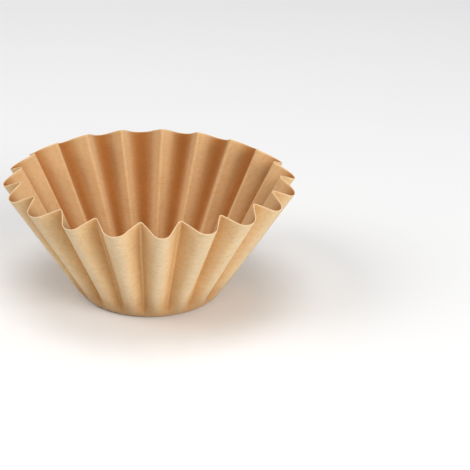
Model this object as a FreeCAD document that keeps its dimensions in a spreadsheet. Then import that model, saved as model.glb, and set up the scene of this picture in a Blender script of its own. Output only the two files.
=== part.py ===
"""A paper coffee filter: one disc of filter paper pressed into a fluted basket.

The flat base stands on z = 0, centred on the origin. Round its edge the paper turns up at a crease and
climbs as a ring of flutes. Before they are rounded, crests and valleys are straight edges that fan out from
one point on the Z axis below the base, with flat flanks between them. Each crest takes one round all the way
up and each valley a tighter one, so the flutes are shallow below and deep at the rim. Close to the crease
the valleys run out into a plain ring, which leaves the base almost round. The rim is the edge of the disc:
every point of it lies one slant length from the crease, so it dips at each crest and rises at each valley.
"""
import FreeCAD, Part
import math
import os

import Sketcher

# The driving sizes: millimetres, angles in degrees and one count
SIZES = {
    "sheet_diameter": 155.0,
    "paper": 0.2,
    "flute_count": 20,
    "flank_angle": 58.0,
    "crest_round": 3.2,
    "valley_round": 1.1,
    "foot_radius": 26.1,
    "ring_inset": 0.4,
    "ring_lean": 8.0,
    "ring_height": 12.0,
    "crease_inset": 0.6,
    "rim_radius": 54.0,
}

doc = FreeCAD.newDocument("coffee_filter")
sheet = doc.addObject("Spreadsheet::Sheet", "sizes")
for row, (name, value) in enumerate(SIZES.items(), start=1):
    sheet.set(f"A{row}", name)
    sheet.set(f"B{row}", str(value))
    sheet.setAlias(f"B{row}", name)
doc.recompute()

# The crease and the ring's foot both stand in from the foot of the crests
CREASE_RADIUS = "(sizes.foot_radius - sizes.crease_inset)"
RING_RADIUS = "(sizes.foot_radius - sizes.ring_inset)"

# How far the paper runs up the wall from the crease, and how high that brings the crests at the rim
SLANT = f"(sizes.sheet_diameter / 2 - {CREASE_RADIUS})"
RIM_HEIGHT = f"sqrt({SLANT} ^ 2 - (sizes.rim_radius - {CREASE_RADIUS}) ^ 2)"

# Seen from above, a flank's normal stands at the flank angle to the crest beside it. The crests lean out,
# which gives the flat flanks their draft
HALF_PITCH = "(180 deg / sizes.flute_count)"
FLANK = "(sizes.flank_angle * 1 deg)"
CREST_LEAN = f"atan((sizes.rim_radius - sizes.foot_radius) / {RIM_HEIGHT})"
DRAFT = f"atan(tan({CREST_LEAN}) * cos({FLANK}))"

# The sharp corners of the foot's outline. Rounding takes a crest back to the foot radius
CREST_CORNER = (
    "(sizes.foot_radius"
    f" + sizes.crest_round * (1 / (cos({FLANK}) * cos({DRAFT})) - 1 / cos({CREST_LEAN})))"
)
VALLEY_CORNER = f"({CREST_CORNER} * cos({FLANK}) / cos({FLANK} - {HALF_PITCH}))"

# What the rim is trimmed from reaches past the paper by this much of its slant
TRIM_REACH = 1.2

# The ring at the foot leans out less than the valleys, which leave it at half its height or so
RING_TOP = f"({RING_RADIUS} + sizes.ring_height * tan(sizes.ring_lean * 1 deg))"

# How a sketch names its own origin and X axis, and the points of a line or an arc
ORIGIN = (-1, 1)
X_AXIS = -1
START, END, CENTRE = 1, 2, 3

UP = FreeCAD.Vector(0, 0, 1)

body = doc.addObject("PartDesign::Body", "filter_paper")
body.Label = "filter_paper"


def sketch_on(role, name):
    """An empty sketch on the body's own plane with that role."""
    plane = next(item for item in body.Origin.OriginFeatures if item.Role == role)
    sketch = body.newObject("Sketcher::SketchObject", name)
    sketch.AttachmentSupport = [(plane, "")]
    sketch.MapMode = "FlatFace"
    return sketch


def bind(sketch, name, constraint, expression):
    """Add a named driving constraint whose value follows the sheet."""
    sketch.renameConstraint(sketch.addConstraint(constraint), name)
    sketch.setExpression(f"Constraints.{name}", expression)


def foot_outline():
    """The star that the flutes would make at the base with sharp corners, crests and valleys in turn.

    The corners are drawn near their places, and the constraints move them there.
    """
    sketch = sketch_on("XY_Plane", "foot_outline")
    drawn_radii = (SIZES["foot_radius"], SIZES["foot_radius"] - SIZES["crest_round"])
    circles = [sketch.addGeometry(Part.Circle(FreeCAD.Vector(), UP, radius), True) for radius in drawn_radii]
    corner_count = 2 * SIZES["flute_count"]
    corners = []
    for index in range(corner_count):
        ray = 2 * math.pi * index / corner_count
        radius = drawn_radii[index % 2]
        corners.append(FreeCAD.Vector(radius * math.cos(ray), radius * math.sin(ray), 0))
    flanks = [
        sketch.addGeometry(Part.LineSegment(corner, following))
        for corner, following in zip(corners, corners[1:] + corners[:1])
    ]
    rules = [Sketcher.Constraint("PointOnObject", flanks[0], START, X_AXIS)]
    for circle in circles:
        rules.append(Sketcher.Constraint("Coincident", circle, CENTRE, *ORIGIN))
    for index, flank in enumerate(flanks):
        rules.append(Sketcher.Constraint("Coincident", flanks[index - 1], END, flank, START))
        rules.append(Sketcher.Constraint("PointOnObject", flank, START, circles[index % 2]))
    for flank in flanks[1:]:
        rules.append(Sketcher.Constraint("Equal", flanks[0], flank))
    sketch.addConstraint(rules)
    crest_rule, valley_rule = [
        Sketcher.Constraint("Radius", circle, radius) for circle, radius in zip(circles, drawn_radii)
    ]
    bind(sketch, "crest_corner", crest_rule, CREST_CORNER)
    bind(sketch, "valley_corner", valley_rule, VALLEY_CORNER)
    return sketch


def faces_facing(shape, direction):
    """Names of the flat faces whose outward normal lies within a few degrees of that direction."""
    names = []
    for number, face in enumerate(shape.Faces, start=1):
        if isinstance(face.Surface, Part.Plane) and face.normalAt(0, 0).dot(direction) > 0.999:
            names.append(f"Face{number}")
    return names


def upright_faces(shape):
    """Names of the faces that stand upright."""
    faces = enumerate(shape.Faces, start=1)
    return [f"Face{number}" for number, face in faces if abs(face.normalAt(0, 0).z) < 0.01]


def pleat_edges(shape, odd):
    """Names of the edges up the wall: the crests on the even rays, or the valleys on the odd ones."""
    half_pitch = math.pi / SIZES["flute_count"]
    names = []
    for number, edge in enumerate(shape.Edges, start=1):
        low, high = edge.Vertexes[0].Point, edge.Vertexes[-1].Point
        middle = (low + high) / 2
        rays = math.atan2(middle.y, middle.x) / half_pitch - odd
        if abs(low.z - high.z) > 1 and abs(rays - 2 * round(rays / 2)) < 0.01:
            names.append(f"Edge{number}")
    return names


def feature(kind, name, **settings):
    """A feature of the body with those settings. Texts are expressions over the sheet."""
    made = body.newObject(f"PartDesign::{kind}", name)
    for key, value in settings.items():
        if isinstance(value, str):
            made.setExpression(key, value)
        else:
            setattr(made, key, value)
    doc.recompute()
    return made


def ring_outline():
    """Half the section of the ring at the foot, in the XZ plane, filled in to the Z axis."""
    sketch = sketch_on("XZ_Plane", "ring_outline")
    foot, height = SIZES["foot_radius"] - SIZES["ring_inset"], SIZES["ring_height"]
    path = [
        FreeCAD.Vector(0, 0, 0),
        FreeCAD.Vector(foot, 0, 0),
        FreeCAD.Vector(foot, height, 0),
        FreeCAD.Vector(0, height, 0),
    ]
    bottom, side, top, middle = [
        sketch.addGeometry(Part.LineSegment(start, end)) for start, end in zip(path, path[1:] + path[:1])
    ]
    sketch.addConstraint([
        Sketcher.Constraint("Coincident", bottom, START, *ORIGIN),
        Sketcher.Constraint("Coincident", bottom, END, side, START),
        Sketcher.Constraint("Coincident", side, END, top, START),
        Sketcher.Constraint("Coincident", top, END, middle, START),
        Sketcher.Constraint("Coincident", middle, END, *ORIGIN),
        Sketcher.Constraint("Horizontal", bottom),
        Sketcher.Constraint("Horizontal", top),
        Sketcher.Constraint("Vertical", middle),
    ])
    foot_rule = Sketcher.Constraint("DistanceX", *ORIGIN, bottom, END, foot)
    bind(sketch, "ring_radius", foot_rule, RING_RADIUS)
    top_rule = Sketcher.Constraint("DistanceX", top, END, top, START, foot)
    bind(sketch, "ring_top", top_rule, RING_TOP)
    height_rule = Sketcher.Constraint("DistanceY", *ORIGIN, middle, START, height)
    bind(sketch, "ring_height", height_rule, "sizes.ring_height")
    return sketch


def rim_outline():
    """What lies beyond the rim, in the XZ plane: the square outside a quarter circle about the crease."""
    sketch = sketch_on("XZ_Plane", "rim_outline")
    crease = SIZES["foot_radius"] - SIZES["crease_inset"]
    slant = SIZES["sheet_diameter"] / 2 - crease
    reach = TRIM_REACH * slant
    circle = Part.Circle(FreeCAD.Vector(crease, 0, 0), UP, slant)
    arc = sketch.addGeometry(Part.ArcOfCircle(circle, 0, math.pi / 2))
    path = [
        FreeCAD.Vector(crease, slant, 0),
        FreeCAD.Vector(crease, reach, 0),
        FreeCAD.Vector(crease + reach, reach, 0),
        FreeCAD.Vector(crease + reach, 0, 0),
        FreeCAD.Vector(crease + slant, 0, 0),
    ]
    left, top, right, bottom = [
        sketch.addGeometry(Part.LineSegment(start, end)) for start, end in zip(path, path[1:])
    ]
    sketch.addConstraint([
        Sketcher.Constraint("PointOnObject", arc, CENTRE, X_AXIS),
        Sketcher.Constraint("Coincident", arc, END, left, START),
        Sketcher.Constraint("Coincident", left, END, top, START),
        Sketcher.Constraint("Coincident", top, END, right, START),
        Sketcher.Constraint("Coincident", right, END, bottom, START),
        Sketcher.Constraint("Coincident", bottom, END, arc, START),
        Sketcher.Constraint("Vertical", left),
        Sketcher.Constraint("Horizontal", top),
        Sketcher.Constraint("Vertical", right),
        Sketcher.Constraint("Horizontal", bottom),
        Sketcher.Constraint("Vertical", arc, CENTRE, arc, END),
        Sketcher.Constraint("Horizontal", arc, CENTRE, arc, START),
    ])
    crease_rule = Sketcher.Constraint("DistanceX", *ORIGIN, arc, CENTRE, crease)
    bind(sketch, "crease", crease_rule, CREASE_RADIUS)
    bind(sketch, "slant", Sketcher.Constraint("Radius", arc, slant), SLANT)
    out_rule = Sketcher.Constraint("DistanceX", arc, CENTRE, right, END, reach)
    bind(sketch, "out", out_rule, f"{TRIM_REACH} * {SLANT}")
    up_rule = Sketcher.Constraint("DistanceY", arc, CENTRE, top, END, reach)
    bind(sketch, "up", up_rule, f"{TRIM_REACH} * {SLANT}")
    return sketch


outline = foot_outline()
upright = feature("Pad", "upright_pleats", Profile=outline, Length=SLANT)
leaning = feature(
    "Draft",
    "leaning_pleats",
    Base=(upright, upright_faces(upright.Shape)),
    NeutralPlane=(upright, faces_facing(upright.Shape, -UP)),
    Reversed=True,
    Angle=DRAFT,
)
crests = feature(
    "Fillet", "round_crests", Base=(leaning, pleat_edges(leaning.Shape, 0)), Radius="sizes.crest_round"
)
valleys = feature(
    "Fillet", "round_valleys", Base=(crests, pleat_edges(crests.Shape, 1)), Radius="sizes.valley_round"
)
ring_section = ring_outline()
ring = feature(
    "Revolution", "foot_ring", Profile=ring_section, ReferenceAxis=(ring_section, ["V_Axis"]), Angle=360
)
if ring.Shape.Volume <= valleys.Shape.Volume:
    raise RuntimeError("the ring at the foot adds nothing")
wall = feature(
    "Thickness",
    "paper_wall",
    Base=(ring, faces_facing(ring.Shape, UP)),
    Reversed=True,
    Value="sizes.paper",
)
trim = rim_outline()
rim = feature("Groove", "rim", Profile=trim, ReferenceAxis=(trim, ["V_Axis"]), Angle=360)

failed = [item.Name for item in doc.Objects if {"Invalid", "Error"} & set(item.State)]
if failed:
    raise RuntimeError(f"not built: {', '.join(failed)}")
if not 0 < rim.Shape.Volume < wall.Shape.Volume:
    raise RuntimeError("the rim was not trimmed")
if body.Shape.isNull() or not body.Shape.isValid() or len(body.Shape.Solids) != 1:
    raise RuntimeError("the filter is not one valid solid")

os.makedirs("parts", exist_ok=True)
body.Shape.exportStep(f"parts/{body.Label}.step")
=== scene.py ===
"""A fluted coffee filter of brown paper, standing open on a pale table."""

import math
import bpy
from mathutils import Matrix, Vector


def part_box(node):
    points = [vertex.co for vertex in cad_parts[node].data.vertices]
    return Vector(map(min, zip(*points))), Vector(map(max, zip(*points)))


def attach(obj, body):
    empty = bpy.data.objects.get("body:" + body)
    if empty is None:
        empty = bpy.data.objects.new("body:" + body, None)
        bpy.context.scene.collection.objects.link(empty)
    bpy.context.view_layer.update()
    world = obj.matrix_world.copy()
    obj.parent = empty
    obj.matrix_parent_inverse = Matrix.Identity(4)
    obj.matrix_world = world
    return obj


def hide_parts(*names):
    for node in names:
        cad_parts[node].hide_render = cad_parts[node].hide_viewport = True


bl_info = {
    "name": "Fluted coffee filter",
    "version": (1, 0, 0),
    "blender": (4, 5, 0),
    "location": "3D View > Sidebar > Coffee Filter",
    "description": "Presses a disc of brown filter paper into a fluted basket and lights it on a table",
    "category": "Add Mesh",
}

from types import SimpleNamespace

import bpy
import numpy as np
from bpy.props import FloatProperty, FloatVectorProperty, IntProperty, PointerProperty
from mathutils import Matrix, Vector

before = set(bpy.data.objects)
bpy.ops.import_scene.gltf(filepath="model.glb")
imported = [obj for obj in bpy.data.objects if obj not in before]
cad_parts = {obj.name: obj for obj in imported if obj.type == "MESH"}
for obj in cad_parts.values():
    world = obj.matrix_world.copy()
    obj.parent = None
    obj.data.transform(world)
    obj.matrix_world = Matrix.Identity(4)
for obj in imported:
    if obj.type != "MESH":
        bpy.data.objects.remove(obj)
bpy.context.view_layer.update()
PAPER_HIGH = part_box("filter_paper")[1]

MM = 0.001

# Least length of an arc, so that nothing is divided by zero
TINY = 1e-9

# The table lies this far below the paper, so that their flat faces never share a plane
TABLE_GAP = 0.05 * MM
TABLE_CORNERS = 128

# Rows of faces in the rounded foot of the wall, and from there up to the rim
CORNER_ROWS = 8
WALL_ROWS = 56

# Rings of the base, as shares of the flat part's radius
BASE_RINGS = (0.08, 0.3, 0.55, 0.75, 0.9)

# Half a flute, from its crest at 0 to the next valley at 1: where the crest's columns end and where the
# valley's begin, and how many columns of faces each stretch has
CREST_END = 0.44
VALLEY_BEGIN = 0.90
CREST_COLUMNS = 7
FLANK_COLUMNS = 3
VALLEY_COLUMNS = 4

# How many times the rule for the rim's height is gone round
RIM_PASSES = 8

# Waves round the filter in the flutes' sideways wander, in their sideways bow, and in their depth
SIDEWAYS_WAVES = (3, 5, 8, 11, 13, 17)
BOW_WAVES = (2, 7, 9, 12, 16)
DEPTH_WAVES = (4, 6, 9, 14, 19)

# Strength of the bow as a share of the sway, and strength of the unevenness in depth
BOW_SHARE = 0.4
DEPTH_STRENGTH = 0.5

# The grooves' painted shade and crease highlight fade out below the rim's height divided by this
GROOVE_START = 8

# Waves to a crepe pitch, along the lines and across them, in the crepe and in the fine crepe
CREPE_WAVES = (0.10, 1.0)
FINE_WAVES = (0.50, 2.2)

# Flecks: cells to a millimetre, a fleck's radius in cells, the share of cells without one, and how far
# a fleck covers the paper
FLECK_CELLS = 0.28
FLECK_RADIUS = 0.055
FLECKLESS = 0.72
FLECK_STRENGTH = 0.55

# The cut edge's colour starts this many millimetres inside the edge, and is in full close to it
EDGE_START = 0.3
EDGE_FULL = 0.05

# Height of the fine crepe and of the fibres, as shares of the crepe's
FINE_RELIEF = 0.35
FIBRE_RELIEF = 0.3

# Places of the colour sockets on a Mix node, behind those for its other kinds of data
MIX_FIRST = 6
MIX_SECOND = 7
MIX_RESULT = 2

# Each soft box's name, its place in metres and the setting that holds its power
SOFT_BOXES = (
    ("soft_box_left", (-1.17, -0.21, 1.07), "left_power"),
    ("soft_box_right", (1.13, -1.06, 0.48), "right_power"),
    ("soft_box_front", (0.55, -1.24, 0.85), "front_power"),
    ("soft_box_above", (0.0, 0.0, 1.6), "top_power"),
)
SOFT_BOX_WIDTH = 0.9
SOFT_BOX_AIM = (0, 0, 0.02)

# The camera's sensor in millimetres, and how near and far it sees in metres
SENSOR_WIDTH = 36
CLIP_NEAR = 0.02
CLIP_FAR = 20


class FilterSizes(bpy.types.PropertyGroup):
    """Sizes of the pressed paper."""

    flute_count: IntProperty(name="Flutes", description="Flutes round the wall", default=20, min=6)
    sheet_radius: FloatProperty(
        name="Sheet radius",
        description="Radius of the flat disc before it is pressed",
        default=77.5 * MM,
        unit="LENGTH",
    )
    paper: FloatProperty(
        name="Paper",
        description="Thickness of the paper",
        default=0.2 * MM,
        unit="LENGTH",
    )
    foot_radius: FloatProperty(
        name="Foot radius",
        description="Radius of the crests, carried down to the table",
        default=26.4 * MM,
        unit="LENGTH",
    )
    crease_radius: FloatProperty(
        name="Crease radius",
        description="Where the base turns up into the wall",
        default=25.5 * MM,
        unit="LENGTH",
    )
    rim_radius: FloatProperty(
        name="Rim radius",
        description="Radius of the crests at the rim",
        default=PAPER_HIGH[0],
        unit="LENGTH",
    )
    flute_depth: FloatProperty(
        name="Flute depth",
        description="How far the valleys lie inside the crests, at the height of the crest tips",
        default=7.8 * MM,
        unit="LENGTH",
    )
    flute_start: FloatProperty(
        name="Flute start",
        description="Depth of the flutes at the foot, if they did not run out into the ring",
        default=2.4 * MM,
        unit="LENGTH",
    )
    ring_inset: FloatProperty(
        name="Ring inset",
        description="How far the foot ring lies inside the crests",
        default=0.3 * MM,
        unit="LENGTH",
    )
    ring_lean: FloatProperty(
        name="Ring lean",
        description="Lean of the foot ring",
        default=math.radians(15),
        subtype="ANGLE",
    )
    ring_blend: FloatProperty(
        name="Ring blend",
        description="How softly valleys leave the foot ring",
        default=1.0 * MM,
        unit="LENGTH",
    )
    crest_round: FloatProperty(
        name="Crest round",
        description="How round the crests are at the rim",
        default=4.2 * MM,
        unit="LENGTH",
    )
    foot_crest_round: FloatProperty(
        name="Crest round below",
        description="How round the crests are at the foot",
        default=2.8 * MM,
        unit="LENGTH",
    )
    valley_round: FloatProperty(
        name="Valley round",
        description="How round the valleys are, seen from outside",
        default=0.7 * MM,
        unit="LENGTH",
    )
    flat_radius: FloatProperty(
        name="Flat radius",
        description="Radius of the flat part that stands on the table",
        default=24.7 * MM,
        unit="LENGTH",
    )
    crest_corner: FloatProperty(
        name="Crest corner",
        description="How far the crease is rounded up the crests",
        default=5.0 * MM,
        unit="LENGTH",
    )
    valley_corner: FloatProperty(
        name="Valley corner",
        description="How far the crease is rounded up the valleys",
        default=2.6 * MM,
        unit="LENGTH",
    )
    sway: FloatProperty(
        name="Sway",
        description="How far flutes wander sideways at the rim",
        default=0.55 * MM,
        unit="LENGTH",
    )
    slack: FloatProperty(
        name="Slack",
        description="How far the wall falls short of its full radius at the rim, at most",
        default=0.4 * MM,
        unit="LENGTH",
    )
    seed: IntProperty(name="Seed", description="Another seed gives other small differences", default=4)


class PaperLooks(bpy.types.PropertyGroup):
    """Colours and finish of the paper, with its painted highlights, painted shade and painted bounce
    light.
    """

    kraft: FloatVectorProperty(
        name="Kraft",
        description="Colour of the unbleached pulp",
        subtype="COLOR",
        default=(0.69, 0.475, 0.253),
    )
    # Painted highlight: the crests are paler, standing in for the light they catch.
    crest_highlight_kraft: FloatVectorProperty(
        name="Crest kraft",
        description="Paler colour of the crests, where the pressing has stretched the paper",
        subtype="COLOR",
        default=(0.68, 0.525, 0.33),
    )
    # Painted bounce light: the inner side is more orange, standing in for light bounced between the
    # flutes and shining through the paper.
    inner_bounce_kraft: FloatVectorProperty(
        name="Inner kraft",
        description="Colour of the inner side",
        subtype="COLOR",
        default=(0.71, 0.45, 0.225),
    )
    # Painted shade: the grooves darker and browner, standing in for the shade that falls in them.
    groove_shade_tint: FloatVectorProperty(
        name="Groove tint",
        description="What the pressed grooves keep of the paper's colour",
        subtype="COLOR",
        default=(0.91, 0.765, 0.575),
    )
    # Painted highlight: a pale line along the fold at the bottom of each groove outside.
    crease_highlight: FloatVectorProperty(
        name="Crease line",
        description="Pale line that the fold leaves along the bottom of each groove",
        subtype="COLOR",
        default=(0.82, 0.60, 0.36),
    )
    # Painted shade: the grooves of the inner side darker still, standing in for the deep shade in them.
    inner_groove_shade_tint: FloatVectorProperty(
        name="Inner groove tint",
        description="What the grooves of the inner side keep, on top of the groove tint",
        subtype="COLOR",
        default=(0.58, 0.40, 0.235),
    )
    line_tint: FloatVectorProperty(
        name="Line tint",
        description="What the crepe lines keep of the inner side's colour",
        subtype="COLOR",
        default=(0.90, 0.83, 0.74),
    )
    # Painted shade: the outside darker towards the foot, out to the foot reach in the flat sheet.
    foot_shade_tint: FloatVectorProperty(
        name="Foot tint",
        description="What the outside keeps of its colour close to the crease",
        subtype="COLOR",
        default=(0.73, 0.60, 0.465),
    )
    foot_reach: FloatProperty(
        name="Foot reach",
        description="How far out in the flat sheet the foot's tint reaches",
        default=42 * MM,
        unit="LENGTH",
    )
    fibre: FloatVectorProperty(
        name="Fibre",
        description="Colour of the darker fibres",
        subtype="COLOR",
        default=(0.50, 0.30, 0.145),
    )
    cut_edge: FloatVectorProperty(
        name="Cut edge",
        description="Colour of the fuzzy cut edge",
        subtype="COLOR",
        default=(0.80, 0.60, 0.38),
    )
    mottle: FloatVectorProperty(
        name="Mottle",
        description="What the warmer mottled patches keep of the paper's colour",
        subtype="COLOR",
        default=(0.985, 0.93, 0.84),
    )
    fleck: FloatVectorProperty(
        name="Fleck",
        description="Colour of the few dark flecks",
        subtype="COLOR",
        default=(0.25, 0.13, 0.055),
    )
    crepe_pitch: FloatProperty(
        name="Crepe pitch",
        description="Spacing of the crepe lines in the flat sheet",
        default=0.6 * MM,
        unit="LENGTH",
    )
    crepe_depth: FloatProperty(
        name="Crepe depth",
        description="Height of the crepe lines",
        default=0.035 * MM,
        unit="LENGTH",
    )
    roughness: FloatProperty(
        name="Roughness",
        description="Roughness of the paper",
        default=0.92,
        subtype="FACTOR",
    )
    gloss: FloatProperty(
        name="Gloss",
        description="Strength of the paper's dull reflections",
        default=0.2,
        subtype="FACTOR",
    )
    fuzz: FloatProperty(
        name="Fuzz",
        description="Sheen of the loose fibres",
        default=0.12,
        subtype="FACTOR",
    )
    fuzz_roughness: FloatProperty(
        name="Fuzz roughness",
        description="How widely the loose fibres spread the light",
        default=0.6,
        subtype="FACTOR",
    )
    fuzz_tint: FloatVectorProperty(
        name="Fuzz tint",
        description="Colour of the sheen",
        subtype="COLOR",
        default=(0.97, 0.86, 0.70),
    )


class StageLooks(bpy.types.PropertyGroup):
    """The table, the light and the camera."""

    table: FloatVectorProperty(
        name="Table",
        description="Colour of the table",
        subtype="COLOR",
        default=(0.90, 0.90, 0.90),
    )
    table_radius: FloatProperty(
        name="Table radius",
        description="Radius of the round table",
        default=1.0,
        unit="LENGTH",
    )
    table_roughness: FloatProperty(
        name="Table roughness",
        description="Roughness of the table",
        default=0.8,
        subtype="FACTOR",
    )
    table_gloss: FloatProperty(
        name="Table gloss",
        description="Strength of the table's reflections",
        default=0.1,
        subtype="FACTOR",
    )
    surround: FloatProperty(
        name="Surround",
        description="Light that the white surround gives",
        default=0.2,
        min=0,
    )
    left_power: FloatProperty(
        name="Left light",
        description="Power of the soft box on the left",
        default=10.0,
        unit="POWER",
    )
    right_power: FloatProperty(
        name="Right light",
        description="Power of the low soft box on the right",
        default=11.5,
        unit="POWER",
    )
    front_power: FloatProperty(
        name="Front light",
        description="Power of the soft box at the front",
        default=9.0,
        unit="POWER",
    )
    top_power: FloatProperty(
        name="Top light",
        description="Power of the soft box above",
        default=10.5,
        unit="POWER",
    )
    camera_distance: FloatProperty(
        name="Camera distance",
        description="From the camera to the filter",
        default=564.7 * MM,
        unit="LENGTH",
    )
    camera_azimuth: FloatProperty(
        name="Camera azimuth",
        description="Where the camera stands, from the X axis",
        default=math.radians(-94.06),
        subtype="ANGLE",
    )
    camera_elevation: FloatProperty(
        name="Camera elevation",
        description="How steeply it looks down",
        default=math.radians(23.57),
        subtype="ANGLE",
    )
    camera_yaw: FloatProperty(
        name="Camera yaw",
        description="How far it looks past the filter",
        default=math.radians(3.21),
        subtype="ANGLE",
    )
    camera_pitch: FloatProperty(
        name="Camera pitch",
        description="How far it looks over the filter's middle",
        default=math.radians(0.16),
        subtype="ANGLE",
    )
    aim_height: FloatProperty(
        name="Aim height",
        description="Height of the point it turns about",
        default=20 * MM,
        unit="LENGTH",
    )
    lens: FloatProperty(
        name="Lens",
        description="Focal length in millimetres",
        default=115.3,
        unit="CAMERA",
    )


def direction(angle):
    """Points of the unit circle: cosine and sine of the angles, in a last axis of two."""
    return np.stack([np.cos(angle), np.sin(angle)], axis=-1)


def wander(angle, waves, strength, rng):
    """A smooth closed curve of the angle: a sum of cosines with chance phases, scaled to the strength."""
    phases = rng.uniform(0, 2 * math.pi, len(waves))
    total = sum(np.cos(wave * angle + phase) for wave, phase in zip(waves, phases))
    return strength * total / math.sqrt(len(waves))


def half_flute_steps():
    """Where columns lie between a crest at 0 and the next valley at 1, as shares of the paper's length.

    They stand close together where the paper turns: round the crest, and most of all round the valley.
    """
    crest = np.linspace(0, CREST_END, CREST_COLUMNS, endpoint=False)
    flank = np.linspace(CREST_END, VALLEY_BEGIN, FLANK_COLUMNS, endpoint=False)
    valley = np.linspace(VALLEY_BEGIN, 1, VALLEY_COLUMNS + 1)
    return np.concatenate([crest, flank, valley])


def crest_and_valley(sizes, height, rim_height):
    """Radius of the crests and of the valleys at each height.

    The crests climb a straight line from the foot to the rim, and the valleys another further in, or the
    leaning ring where that lies further out. Line and ring are joined by a smooth maximum: half of their
    sum, plus half of the root of their difference squared and the blend squared.
    """
    crest = sizes.foot_radius + (sizes.rim_radius - sizes.foot_radius) * height / rim_height
    depth = sizes.flute_start + (sizes.flute_depth - sizes.flute_start) * height / rim_height
    line = crest - depth
    ring = sizes.foot_radius - sizes.ring_inset + math.tan(sizes.ring_lean) * height
    return crest, (line + ring + np.hypot(line - ring, sizes.ring_blend)) / 2


def half_flute(sizes, height, passed, rim_height):
    """Points of half a flute, at each height and at each share of its length that is passed.

    Seen from above, half a flute is an arc round the crest, a straight flank and an arc round the valley.
    The crest's arc has its centre on the crest's ray, and the valley's on its own ray, outside the paper.
    The flank is the inner tangent of both circles, so its normal leans from the line between the centres
    by the arc cosine of the radii's sum over the distance.
    """
    half_pitch = math.pi / sizes.flute_count
    crest, valley = crest_and_valley(sizes, height, rim_height)
    share = np.clip(height / rim_height, 0, 1)
    crest_round = sizes.foot_crest_round + (sizes.crest_round - sizes.foot_crest_round) * share
    valley_round = sizes.valley_round
    crest_centre = (crest - crest_round)[..., None] * direction(np.zeros_like(height))
    valley_centre = (valley + valley_round)[..., None] * direction(np.full_like(height, half_pitch))
    between = valley_centre - crest_centre
    distance = np.hypot(between[..., 0], between[..., 1])
    lean = np.arccos(np.clip((crest_round + valley_round) / distance, -1, 1))
    normal = np.arctan2(between[..., 1], between[..., 0]) - lean
    flank = between - (crest_round + valley_round)[..., None] * direction(normal)
    flank_length = np.hypot(flank[..., 0], flank[..., 1])
    crest_length = crest_round * normal
    valley_length = np.maximum(valley_round * (normal - half_pitch), TINY)
    along = passed * (crest_length + flank_length + valley_length)
    crest_share = np.clip(along / crest_length, 0, 1)
    flank_share = np.clip((along - crest_length) / flank_length, 0, 1)
    valley_share = np.clip((along - crest_length - flank_length) / valley_length, 0, 1)
    valley_turn = normal + valley_share * (half_pitch - normal)
    return (
        crest_centre
        + crest_round[..., None] * direction(normal * crest_share)
        + flank_share[..., None] * flank
        + valley_round * (direction(normal) - direction(valley_turn))
    )


def rim_heights(sizes, passed, slant, rim_height):
    """Height of the rim in each column, where the paper ends.

    The paper has the same slant length in each column, so its height there is the root of the slant
    squared less the way out from the crease squared. That way depends on the height, so the rule is gone
    round a few times.
    """
    top = np.full(len(passed), rim_height)
    for _ in range(RIM_PASSES):
        points = half_flute(sizes, top, passed, rim_height)
        radius = np.hypot(points[:, 0], points[:, 1])
        top = np.sqrt(slant**2 - (radius - sizes.crease_radius) ** 2)
    return top


def made_uneven(sizes, angle, radius, share):
    """Angles and radii with the flutes' small differences, at each share of the rim's height.

    Chance curves round the filter turn the flutes sideways by the share, bow them by the share times the
    sine of that share of half a turn, and draw the wall in by part of the slack times the share squared.
    """
    rng = np.random.default_rng(sizes.seed)
    sideways = wander(angle, SIDEWAYS_WAVES, sizes.sway, rng)
    bow = wander(angle, BOW_WAVES, BOW_SHARE * sizes.sway, rng)
    angle = angle + (sideways * share + bow * np.sin(math.pi * share) * share) / sizes.rim_radius
    taken = np.clip((1 + wander(angle, DEPTH_WAVES, DEPTH_STRENGTH, rng)) / 2, 0, 1)
    return angle, radius - sizes.slack * share**2 * taken


def wall_grid(sizes, steps):
    """The outer side of the wall, in rows from the base up to the rim and columns once round the filter.

    The lowest rows turn in to the flat part on a quarter of an ellipse, whose height goes from the
    crests' to the valleys' by a cosine, and the others share the height from there to the rim evenly.
    Also returned are each point's radius and angle in the flat sheet, where the radius is the crease's
    plus the straight way from the crease, and how deep in a groove it lies, from 0 on a crest to 1 in a
    valley, fading out at the foot.
    """
    flutes = sizes.flute_count
    half_pitch = math.pi / flutes
    slant = sizes.sheet_radius - sizes.crease_radius
    rim_height = math.sqrt(slant**2 - (sizes.rim_radius - sizes.crease_radius) ** 2)

    passed = np.tile(np.concatenate([steps[:-1], steps[:0:-1]]), flutes)
    side = np.repeat([1, -1], len(steps) - 1)
    sides = np.tile(side, flutes)
    flute = np.repeat(np.arange(flutes), len(side))
    ray = 2 * half_pitch * (flute + (sides < 0))

    top = rim_heights(sizes, passed, slant, rim_height)
    turn = np.linspace(0, math.pi / 2, CORNER_ROWS + 1)[:, None]
    higher = (sizes.crest_corner - sizes.valley_corner) * (1 + np.cos(math.pi * passed)) / 2
    corner = sizes.valley_corner + higher
    climb = np.linspace(0, 1, WALL_ROWS + 1)[1:, None]
    height = np.concatenate([corner * (1 - np.cos(turn)), corner + (top - corner) * climb])
    points = half_flute(sizes, height, passed, rim_height)
    radius = np.hypot(points[..., 0], points[..., 1])
    angle = ray + sides * np.arctan2(points[..., 1], points[..., 0])
    sheet_angle = np.broadcast_to(ray + sides * half_pitch * passed, height.shape)
    sheet_radius = sizes.crease_radius + np.hypot(radius - sizes.crease_radius, height)

    share = height / rim_height
    angle, radius = made_uneven(sizes, angle, radius, share)
    radius[: CORNER_ROWS + 1] -= (radius[0] - sizes.flat_radius) * (1 - np.sin(turn))
    wall = np.concatenate([radius[..., None] * direction(angle), height[..., None]], axis=-1)
    groove = passed * np.clip(share * GROOVE_START, 0, 1)
    return wall, sheet_radius, sheet_angle, groove


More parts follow.
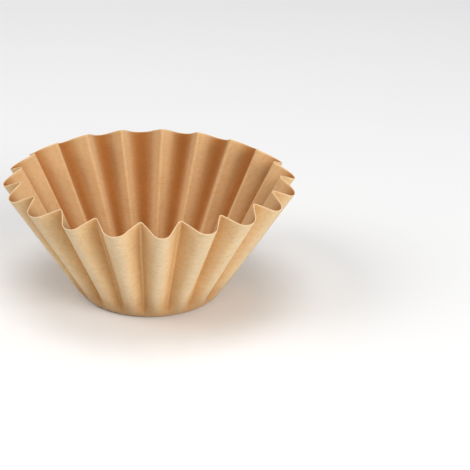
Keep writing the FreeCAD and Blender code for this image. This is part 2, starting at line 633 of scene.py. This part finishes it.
def base_grid(edge):
    """Rings of the flat base inside the wall's lowest row: their points, angles and shares of its radius.

    A ring's angles go from even ones at the middle to the edge's own, by the square of its share.
    """
    columns = len(edge)
    share = np.array(BASE_RINGS)[:, None]
    even = 2 * math.pi * np.arange(columns) / columns
    edge_angle = even + np.angle(np.exp(1j * (np.arctan2(edge[:, 1], edge[:, 0]) - even)))
    angle = even + (edge_angle - even) * share**2
    radius = np.hypot(edge[:, 0], edge[:, 1]) * share
    flat = np.zeros((*angle.shape, 1))
    return np.concatenate([radius[..., None] * direction(angle), flat], axis=-1), angle, share


def outward_normals(grid):
    """Unit normals of a grid that is closed round its columns: the cross product of its tangents."""
    round_it = np.roll(grid, -1, axis=1) - np.roll(grid, 1, axis=1)
    up_it = np.gradient(grid, axis=0)
    normal = np.cross(round_it, up_it)
    return normal / np.linalg.norm(normal, axis=-1, keepdims=True)


def paper_shell(sizes):
    """Points of the closed shell of paper, with their places in the flat sheet, grooves and sides.

    The outside runs from the middle of the underside out to the crease and up to the rim. The inside is
    the same grid, moved in by the paper's thickness along its normals. What is a crest outside is a
    groove inside. The points go along the outside's rows, then the inside's, and the two middles come
    last.
    """
    wall, wall_radius, wall_angle, wall_groove = wall_grid(sizes, half_flute_steps())
    base, base_angle, base_share = base_grid(wall[0])
    outside = np.concatenate([base, wall])
    normals = outward_normals(outside)
    normals[: len(base) + 1] = (0, 0, -1)
    inside = outside - sizes.paper * normals
    middles = np.array([[0, 0, 0], [0, 0, sizes.paper]])
    points = np.concatenate([outside.reshape(-1, 3), inside.reshape(-1, 3), middles])

    sheet_radius = np.concatenate([base_share * wall_radius[:1], wall_radius])
    sheet_angle = np.concatenate([base_angle, wall_angle])
    sheet = (sheet_radius[..., None] * direction(sheet_angle)).reshape(-1, 2)
    sheet = np.concatenate([sheet, sheet, np.zeros((2, 2))])

    height = wall[..., 2]
    ungrooved = np.zeros(base.shape[:2])
    full_groove = np.concatenate([ungrooved, np.clip(GROOVE_START * height / height.max(), 0, 1)])
    outer_groove = np.concatenate([ungrooved, wall_groove])
    inner_groove = full_groove - outer_groove
    groove = np.concatenate([outer_groove.ravel(), inner_groove.ravel(), [0, 0]])
    rows, columns = outer_groove.shape
    inner_side = np.repeat([0.0, 1.0, 0.0, 1.0], [rows * columns, rows * columns, 1, 1])
    return points, sheet, groove, inner_side, rows, columns


def shell_faces(rows, columns):
    """Faces of the closed shell: quads of both sides, quads of the cut edge, and the middles' triangles.

    Faces of the inside are those of the outside turned over, a strip joins the two along the rim, and a
    fan round each middle closes the base.
    """
    size = rows * columns
    index = np.arange(size).reshape(rows, columns)
    low, low_next = index[:-1], np.roll(index[:-1], -1, axis=1)
    high, high_next = index[1:], np.roll(index[1:], -1, axis=1)
    outer = np.stack([low, low_next, high_next, high], axis=-1).reshape(-1, 4)
    inner = outer[:, ::-1] + size
    rim, rim_next = index[-1], np.roll(index[-1], -1)
    strip = np.stack([rim, rim_next, rim_next + size, rim + size], axis=-1)
    first, first_next = index[0], np.roll(index[0], -1)
    under = np.stack([np.full(columns, 2 * size), first_next, first], axis=-1)
    floor = np.stack([np.full(columns, 2 * size + 1), first + size, first_next + size], axis=-1)
    return np.concatenate([outer, inner]), strip, np.concatenate([under, floor])


def add_node(nodes, kind, place, **settings):
    """A node of that kind at a place in the tree, with its properties set by name."""
    node = nodes.new(kind)
    node.location = place
    for name, value in settings.items():
        setattr(node, name, value)
    return node


def mix_colour(tree, place, factor, first, second, blend="MIX"):
    """Mix two colours or links in the given way, and return the mixed colour's socket."""
    node = add_node(tree.nodes, "ShaderNodeMix", place, data_type="RGBA", blend_type=blend)
    sockets = (node.inputs["Factor"], node.inputs[MIX_FIRST], node.inputs[MIX_SECOND])
    for socket, value in zip(sockets, (factor, first, second)):
        if isinstance(value, bpy.types.NodeSocket):
            tree.links.new(value, socket)
        elif isinstance(value, (int, float)):
            socket.default_value = value
        else:
            socket.default_value = (*value, 1)
    return node.outputs[MIX_RESULT]


def multiply_colour(tree, place, factor, colour, tint):
    """The colour multiplied by the tint, where the factor is full."""
    return mix_colour(tree, place, factor, colour, tint, "MULTIPLY")


def calculate(tree, place, operation, *values):
    """Put numbers or links through a math node, and return its output socket."""
    node = add_node(tree.nodes, "ShaderNodeMath", place, operation=operation)
    for socket, value in zip(node.inputs, values):
        if isinstance(value, bpy.types.NodeSocket):
            tree.links.new(value, socket)
        else:
            socket.default_value = value
    return node.outputs[0]


def spread(tree, place, value, low, high, to_low=0.0, to_high=1.0):
    """A smooth step of the value, from one range to another."""
    node = add_node(tree.nodes, "ShaderNodeMapRange", place, interpolation_type="SMOOTHSTEP")
    tree.links.new(value, node.inputs["Value"])
    ends = {"From Min": low, "From Max": high, "To Min": to_low, "To Max": to_high}
    for name, number in ends.items():
        node.inputs[name].default_value = number
    return node.outputs["Result"]


def noise(tree, place, vector, scale, detail, stretch=(1, 1, 1), turn=0.0, distortion=0.0):
    """Noise over stretched and turned coordinates."""
    mapping = add_node(tree.nodes, "ShaderNodeMapping", (place[0] - 200, place[1]))
    tree.links.new(vector, mapping.inputs["Vector"])
    mapping.inputs["Scale"].default_value = stretch
    mapping.inputs["Rotation"].default_value = (0, 0, turn)
    node = add_node(tree.nodes, "ShaderNodeTexNoise", place)
    tree.links.new(mapping.outputs["Vector"], node.inputs["Vector"])
    node.inputs["Scale"].default_value = scale
    node.inputs["Detail"].default_value = detail
    node.inputs["Distortion"].default_value = distortion
    return node.outputs["Fac"]


def cloudiness_group():
    """The node group of soft clouds, made once: noise, spread by a smooth step from dark to light."""
    made = bpy.data.node_groups.get("cloudiness")
    if made:
        return made
    group = bpy.data.node_groups.new("cloudiness", "ShaderNodeTree")
    group.interface.new_socket("Vector", in_out="INPUT", socket_type="NodeSocketVector")
    for name in ("Scale", "Detail", "Darkest", "Lightest"):
        group.interface.new_socket(name, in_out="INPUT", socket_type="NodeSocketFloat")
    group.interface.new_socket("Shade", in_out="OUTPUT", socket_type="NodeSocketFloat")
    given = add_node(group.nodes, "NodeGroupInput", (-500, 0))
    clouds = add_node(group.nodes, "ShaderNodeTexNoise", (-250, 0))
    for name in ("Vector", "Scale", "Detail"):
        group.links.new(given.outputs[name], clouds.inputs[name])
    shade = spread(group, (0, 0), clouds.outputs["Fac"], low=0.3, high=0.7)
    group.links.new(given.outputs["Darkest"], shade.node.inputs["To Min"])
    group.links.new(given.outputs["Lightest"], shade.node.inputs["To Max"])
    result = add_node(group.nodes, "NodeGroupOutput", (250, 0))
    group.links.new(shade, result.inputs["Shade"])
    return group


def cloudiness(tree, place, vector, scale, detail, darkest, lightest):
    """Soft clouds over the coordinates, as a shade between the darkest and the lightest."""
    node = add_node(tree.nodes, "ShaderNodeGroup", place, node_tree=cloudiness_group())
    tree.links.new(vector, node.inputs["Vector"])
    values = {"Scale": scale, "Detail": detail, "Darkest": darkest, "Lightest": lightest}
    for name, value in values.items():
        node.inputs[name].default_value = value
    return node.outputs["Shade"]


def shaded(tree, place, colour, shade):
    """The colour multiplied by the shade."""
    grey = add_node(tree.nodes, "ShaderNodeCombineColor", place)
    for name in ("Red", "Green", "Blue"):
        tree.links.new(shade, grey.inputs[name])
    return multiply_colour(tree, (place[0] + 150, place[1]), 1.0, colour, grey.outputs["Color"])


def new_material(name, roughness, gloss):
    """A material of that name, and its shader with the roughness and strength of reflections set."""
    material = bpy.data.materials.new(name)
    material.use_nodes = True
    shader = material.node_tree.nodes["Principled BSDF"]
    shader.inputs["Roughness"].default_value = roughness
    shader.inputs["Specular IOR Level"].default_value = gloss
    return material, shader


def sheet_place(tree, across):
    """The flat sheet's coordinates in millimetres, with the disc's middle at zero."""
    unit = add_node(tree.nodes, "ShaderNodeUVMap", (-1700, 0), uv_map="flat_sheet")
    place = add_node(tree.nodes, "ShaderNodeMapping", (-1500, 0))
    tree.links.new(unit.outputs["UV"], place.inputs["Vector"])
    place.inputs["Location"].default_value = (-across / 2, -across / 2, 0)
    place.inputs["Scale"].default_value = (across, across, 1)
    return place.outputs["Vector"]


def crepe_lines(tree, place, vector, waves, pitch, detail):
    """Noise drawn out along one way of the sheet, with so many waves to the pitch along and across it."""
    along, across = waves
    stretch = (along / pitch, across / pitch, 1)
    return noise(tree, place, vector, scale=1.0, detail=detail, stretch=stretch)


def paper_patterns(tree, place, pitch):
    """What the paper's looks are made of, as sockets: noises, and masks of the grooves and the sides."""
    pattern = SimpleNamespace()
    pattern.crepe = crepe_lines(tree, (-1100, 500), place, CREPE_WAVES, pitch, detail=2.0)
    pattern.fine_crepe = crepe_lines(tree, (-1100, 250), place, FINE_WAVES, pitch, detail=3.0)
    pattern.fibres = noise(
        tree,
        (-1100, 0),
        place,
        scale=1.6,
        detail=4.0,
        stretch=(1, 1.6, 1),
        turn=math.radians(25),
        distortion=1.8,
    )
    pattern.mottle = noise(tree, (-1100, -500), place, scale=0.5, detail=3.0)
    inner = add_node(tree.nodes, "ShaderNodeAttribute", (-900, 100), attribute_name="inner_side")
    pattern.inner = inner.outputs["Fac"]
    pattern.outer = calculate(tree, (-700, -100), "SUBTRACT", 1, pattern.inner)
    groove = add_node(tree.nodes, "ShaderNodeAttribute", (-900, 1300), attribute_name="groove")
    pattern.groove = groove.outputs["Fac"]
    return pattern


def pulp_colour_with_painted_light(tree, place, pattern, looks):
    """The paper's colour: kraft with a painted highlight paler on the crests and painted bounce light
    more orange on the inner side, with fibres, crepe, grain, clouds and mottling.
    """
    # Painted highlight: paler crest kraft where the groove mask is low, on the crests and near the foot
    # where the grooves fade out.
    crest = spread(tree, (-900, 300), pattern.groove, low=0.0, high=0.5, to_low=1, to_high=0)
    kraft = mix_colour(tree, (-800, 200), crest, looks.kraft, looks.crest_highlight_kraft)
    # Painted bounce light: the inner side more orange.
    kraft = mix_colour(tree, (-700, 100), pattern.inner, kraft, looks.inner_bounce_kraft)
    fibrous = spread(tree, (-700, 300), pattern.fibres, low=0.45, high=0.75, to_high=0.3)
    colour = mix_colour(tree, (-500, 300), fibrous, kraft, looks.fibre)

    cloud = cloudiness(tree, (-900, 1100), place, scale=0.07, detail=3.0, darkest=0.97, lightest=1.03)
    grain = cloudiness(tree, (-900, 900), place, scale=2.0, detail=2.0, darkest=0.95, lightest=1.035)
    lines = spread(tree, (-900, 500), pattern.crepe, low=0.3, high=0.7, to_low=0.955, to_high=1.02)
    fine = spread(tree, (-900, 700), pattern.fine_crepe, low=0.3, high=0.7, to_low=0.97, to_high=1.02)
    shade = calculate(tree, (-600, 500), "MULTIPLY", lines, fine)
    shade = calculate(tree, (-500, 500), "MULTIPLY", shade, grain)
    shade = calculate(tree, (-400, 500), "MULTIPLY", shade, cloud)
    colour = shaded(tree, (-300, 500), colour, shade)
    patches = spread(tree, (-900, -500), pattern.mottle, low=0.45, high=0.65)
    return multiply_colour(tree, (-150, 100), patches, colour, looks.mottle)


def with_grooves(tree, colour, pattern, looks):
    """The colour with painted shade in the grooves, a painted highlight along their fold outside, crepe
    lines inside, and deeper painted shade in the grooves inside.
    """
    # Painted shade in the grooves of both sides.
    pressed = spread(tree, (-700, 1300), pattern.groove, low=0.38, high=0.95)
    colour = multiply_colour(tree, (-100, 500), pressed, colour, looks.groove_shade_tint)

    # Painted highlight along the fold at the bottom of each groove outside, patchy with the mottle.
    bottom = spread(tree, (-700, 1150), pattern.groove, low=0.95, high=0.99, to_high=0.35)
    patchy = spread(tree, (-700, 1000), pattern.mottle, low=0.3, high=0.7, to_low=0.3, to_high=1.2)
    crease_highlight_mask = calculate(tree, (-500, 1300), "MULTIPLY", bottom, pattern.outer)
    crease_highlight_mask = calculate(tree, (-400, 1300), "MULTIPLY", crease_highlight_mask, patchy)
    colour = mix_colour(tree, (-75, 600), crease_highlight_mask, colour, looks.crease_highlight)

    lines = spread(tree, (-900, 1700), pattern.crepe, low=0.5, high=0.75)
    lined = calculate(tree, (-700, 1700), "MULTIPLY", lines, pattern.inner)
    colour = multiply_colour(tree, (-50, 700), lined, colour, looks.line_tint)
    # Painted shade, deeper, in the grooves of the inner side.
    inner_shade_mask = calculate(tree, (-700, 1500), "MULTIPLY", pattern.groove, pattern.inner)
    inner_shade_mask = spread(tree, (-550, 1500), inner_shade_mask, low=0.2, high=1.0)
    return multiply_colour(tree, (0, 500), inner_shade_mask, colour, looks.inner_groove_shade_tint)


def with_flecks(tree, colour, place, looks):
    """The colour with dark flecks, one at the middle of each of a few chance cells."""
    cells = add_node(tree.nodes, "ShaderNodeTexVoronoi", (-1100, -800), feature="F1")
    tree.links.new(place, cells.inputs["Vector"])
    cells.inputs["Scale"].default_value = FLECK_CELLS
    parts = add_node(tree.nodes, "ShaderNodeSeparateColor", (-900, -900))
    tree.links.new(cells.outputs["Color"], parts.inputs["Color"])
    near = calculate(tree, (-700, -800), "LESS_THAN", cells.outputs["Distance"], FLECK_RADIUS)
    chosen = calculate(tree, (-700, -950), "GREATER_THAN", parts.outputs["Red"], FLECKLESS)
    flecks = calculate(tree, (-550, -850), "MULTIPLY", near, chosen)
    flecks = calculate(tree, (-400, -850), "MULTIPLY", flecks, FLECK_STRENGTH)
    return mix_colour(tree, (0, 300), flecks, colour, looks.fleck)


def with_foot_shade_and_edge(tree, colour, place, pattern, looks, sizes):
    """The colour with painted shade darkening the outside towards the foot, and a pale cut edge, by the
    way from the disc's middle.
    """
    way = add_node(tree.nodes, "ShaderNodeVectorMath", (-900, -1150), operation="LENGTH")
    tree.links.new(place, way.inputs[0])
    crease = sizes.crease_radius / MM
    end = looks.foot_reach / MM
    # Painted shade: the outside darker towards the foot, from the crease out to the foot reach.
    foot = spread(tree, (-700, -1350), way.outputs["Value"], low=crease, high=end, to_low=1, to_high=0)
    foot = calculate(tree, (-500, -1350), "MULTIPLY", foot, pattern.outer)
    colour = multiply_colour(tree, (100, 500), foot, colour, looks.foot_shade_tint)
    cut = sizes.sheet_radius / MM
    start, full = cut - EDGE_START, cut - EDGE_FULL
    edge = spread(tree, (-700, -1150), way.outputs["Value"], low=start, high=full, to_high=0.8)
    return mix_colour(tree, (200, 300), edge, colour, looks.cut_edge)


def paper_relief(tree, pattern, depth):
    """The normal of the paper's relief: crepe, with some of the fine crepe and of the fibres added."""
    relief = calculate(tree, (-300, -300), "MULTIPLY", pattern.fine_crepe, FINE_RELIEF)
    relief = calculate(tree, (-150, -300), "ADD", relief, pattern.crepe)
    fibres = calculate(tree, (-150, -450), "MULTIPLY", pattern.fibres, FIBRE_RELIEF)
    relief = calculate(tree, (0, -300), "ADD", relief, fibres)
    bump = add_node(tree.nodes, "ShaderNodeBump", (200, -300))
    bump.inputs["Strength"].default_value = 1.0
    bump.inputs["Distance"].default_value = depth
    tree.links.new(relief, bump.inputs["Height"])
    return bump.outputs["Normal"]


def filter_paper_material(looks, sizes):
    """Creped kraft paper, with its patterns laid out in the flat sheet, as it was before pressing."""
    material, shader = new_material("kraft_filter_paper", looks.roughness, looks.gloss)
    tree = material.node_tree
    place = sheet_place(tree, 2 * sizes.sheet_radius / MM)
    pattern = paper_patterns(tree, place, looks.crepe_pitch / MM)
    colour = pulp_colour_with_painted_light(tree, place, pattern, looks)
    colour = with_grooves(tree, colour, pattern, looks)
    colour = with_flecks(tree, colour, place, looks)
    colour = with_foot_shade_and_edge(tree, colour, place, pattern, looks, sizes)
    tree.links.new(colour, shader.inputs["Base Color"])
    tree.links.new(paper_relief(tree, pattern, looks.crepe_depth), shader.inputs["Normal"])
    shader.inputs["Sheen Weight"].default_value = looks.fuzz
    shader.inputs["Sheen Roughness"].default_value = looks.fuzz_roughness
    shader.inputs["Sheen Tint"].default_value = (*looks.fuzz_tint, 1)
    return material


def table_material(looks):
    """A pale matt table top with a faint cloudiness."""
    material, shader = new_material("pale_table", looks.table_roughness, looks.table_gloss)
    tree = material.node_tree
    where = add_node(tree.nodes, "ShaderNodeTexCoord", (-900, 0)).outputs["Object"]
    cloud = cloudiness(tree, (-700, 0), where, scale=3.0, detail=2.0, darkest=0.985, lightest=1.0)
    tree.links.new(shaded(tree, (-450, 0), looks.table, cloud), shader.inputs["Base Color"])
    return material


class FILTER_OT_press_paper(bpy.types.Operator):
    """Press the disc of paper into the fluted basket."""

    bl_idname = "coffee_filter.press_paper"
    bl_label = "Press the paper"

    def execute(self, context):
        sizes = context.scene.filter_sizes
        points, sheet, groove, inner_side, rows, columns = paper_shell(sizes)
        quads, strip, triangles = shell_faces(rows, columns)
        mesh = bpy.data.meshes.new("fluted_paper")
        mesh.from_pydata(points.tolist(), [], quads.tolist() + strip.tolist() + triangles.tolist())
        corners = np.empty(len(mesh.loops), dtype=np.int32)
        mesh.loops.foreach_get("vertex_index", corners)
        layer = mesh.uv_layers.new(name="flat_sheet")
        unit = sheet / (2 * sizes.sheet_radius) + 0.5
        layer.data.foreach_set("uv", unit[corners].astype(np.float32).ravel())
        for name, values in (("groove", groove), ("inner_side", inner_side)):
            attribute = mesh.attributes.new(name, "FLOAT", "POINT")
            attribute.data.foreach_set("value", values.astype(np.float32))
        smooth = np.ones(len(mesh.polygons), dtype=bool)
        smooth[len(quads) : len(quads) + len(strip)] = False
        mesh.polygons.foreach_set("use_smooth", smooth)
        mesh.materials.append(filter_paper_material(context.scene.paper_looks, sizes))
        mesh.update()
        if mesh.validate():
            raise RuntimeError("the paper's mesh had faults")
        paper = bpy.data.objects.new("fluted_paper", mesh)
        context.scene.collection.objects.link(paper)
        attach(paper, "root")
        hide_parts("filter_paper")
        return {"FINISHED"}


def set_table(scene, looks):
    """A round table top of one flat face."""
    mesh = bpy.data.meshes.new("table_top")
    corners = np.arange(TABLE_CORNERS)
    rim = looks.table_radius * direction(2 * math.pi * corners / TABLE_CORNERS)
    edge = np.concatenate([rim, np.full((TABLE_CORNERS, 1), -TABLE_GAP)], axis=-1)
    mesh.from_pydata(edge.tolist(), [], [corners.tolist()])
    mesh.materials.append(table_material(looks))
    table = bpy.data.objects.new("table_top", mesh)
    scene.collection.objects.link(table)


def set_surround(scene, looks):
    """A white surround that the camera sees in full, and that lights the scene only faintly."""
    world = bpy.data.worlds.new("white_surround")
    world.use_nodes = True
    tree = world.node_tree
    lit = tree.nodes["Background"]
    seen = add_node(tree.nodes, "ShaderNodeBackground", (0, -150))
    for background, strength in ((lit, looks.surround), (seen, 1.0)):
        background.inputs["Color"].default_value = (1, 1, 1, 1)
        background.inputs["Strength"].default_value = strength
    path = add_node(tree.nodes, "ShaderNodeLightPath", (0, 300))
    either = add_node(tree.nodes, "ShaderNodeMixShader", (200, 0))
    factor, first, second = either.inputs
    tree.links.new(path.outputs["Is Camera Ray"], factor)
    tree.links.new(lit.outputs["Background"], first)
    tree.links.new(seen.outputs["Background"], second)
    tree.links.new(either.outputs["Shader"], tree.nodes["World Output"].inputs["Surface"])
    scene.world = world


def set_soft_boxes(scene, looks):
    """The soft boxes, each turned to face the filter."""
    for name, place, power in SOFT_BOXES:
        light = bpy.data.lights.new(name, "AREA")
        light.shape = "SQUARE"
        light.size = SOFT_BOX_WIDTH
        light.energy = getattr(looks, power)
        lamp = bpy.data.objects.new(name, light)
        lamp.location = place
        lamp.rotation_mode = "QUATERNION"
        towards = Vector(SOFT_BOX_AIM) - Vector(place)
        lamp.rotation_quaternion = towards.to_track_quat("-Z", "Y")
        scene.collection.objects.link(lamp)


def set_camera(scene, looks):
    """The camera, at its distance from the aim point, and then turned a little past it."""
    camera = bpy.data.cameras.new("camera")
    camera.sensor_width = SENSOR_WIDTH
    camera.lens = looks.lens
    camera.clip_start = CLIP_NEAR
    camera.clip_end = CLIP_FAR
    viewer = bpy.data.objects.new("camera", camera)
    flat = math.cos(looks.camera_elevation)
    sideways = flat * math.cos(looks.camera_azimuth)
    backwards = flat * math.sin(looks.camera_azimuth)
    back = Vector((sideways, backwards, math.sin(looks.camera_elevation)))
    aim = Vector((0, 0, looks.aim_height))
    level = (-back).to_track_quat("-Z", "Y").to_matrix()
    turn = Matrix.Rotation(-looks.camera_yaw, 3, "Y") @ Matrix.Rotation(looks.camera_pitch, 3, "X")
    stand = Matrix.Translation(aim + back * looks.camera_distance)
    viewer.matrix_world = stand @ (level @ turn).to_4x4()
    scene.collection.objects.link(viewer)
    scene.camera = viewer


class FILTER_OT_set_stage(bpy.types.Operator):
    """Set the table, the soft light and the camera."""

    bl_idname = "coffee_filter.set_stage"
    bl_label = "Set the stage"

    def execute(self, context):
        scene = context.scene
        scene.view_settings.view_transform = "Standard"
        for make in (set_table, set_surround, set_soft_boxes, set_camera):
            make(scene, scene.stage_looks)
        return {"FINISHED"}


class FILTER_PT_panel(bpy.types.Panel):
    """Sizes, looks and the steps that make the filter."""

    bl_label = "Coffee Filter"
    bl_idname = "FILTER_PT_panel"
    bl_space_type = "VIEW_3D"
    bl_region_type = "UI"
    bl_category = "Coffee Filter"

    def draw(self, context):
        for title, group in (
            ("Paper sizes", context.scene.filter_sizes),
            ("Paper looks", context.scene.paper_looks),
            ("Stage", context.scene.stage_looks),
        ):
            box = self.layout.box()
            box.label(text=title)
            for name in group.__annotations__:
                box.prop(group, name)
        for step in STEPS:
            self.layout.operator(step.bl_idname)


STEPS = (FILTER_OT_press_paper, FILTER_OT_set_stage)
GROUPS = {"filter_sizes": FilterSizes, "paper_looks": PaperLooks, "stage_looks": StageLooks}


def register():
    """Register the classes and hang the groups of settings on the scene."""
    for item in (*GROUPS.values(), *STEPS, FILTER_PT_panel):
        bpy.utils.register_class(item)
    for name, group in GROUPS.items():
        setattr(bpy.types.Scene, name, PointerProperty(type=group))


def unregister():
    """Take the groups and classes off again."""
    for name in GROUPS:
        delattr(bpy.types.Scene, name)
    for item in reversed((*GROUPS.values(), *STEPS, FILTER_PT_panel)):
        bpy.utils.unregister_class(item)


def main():
    """Make everything in order."""
    register()
    bpy.ops.coffee_filter.press_paper()
    bpy.ops.coffee_filter.set_stage()


if __name__ == "__main__":
    main()
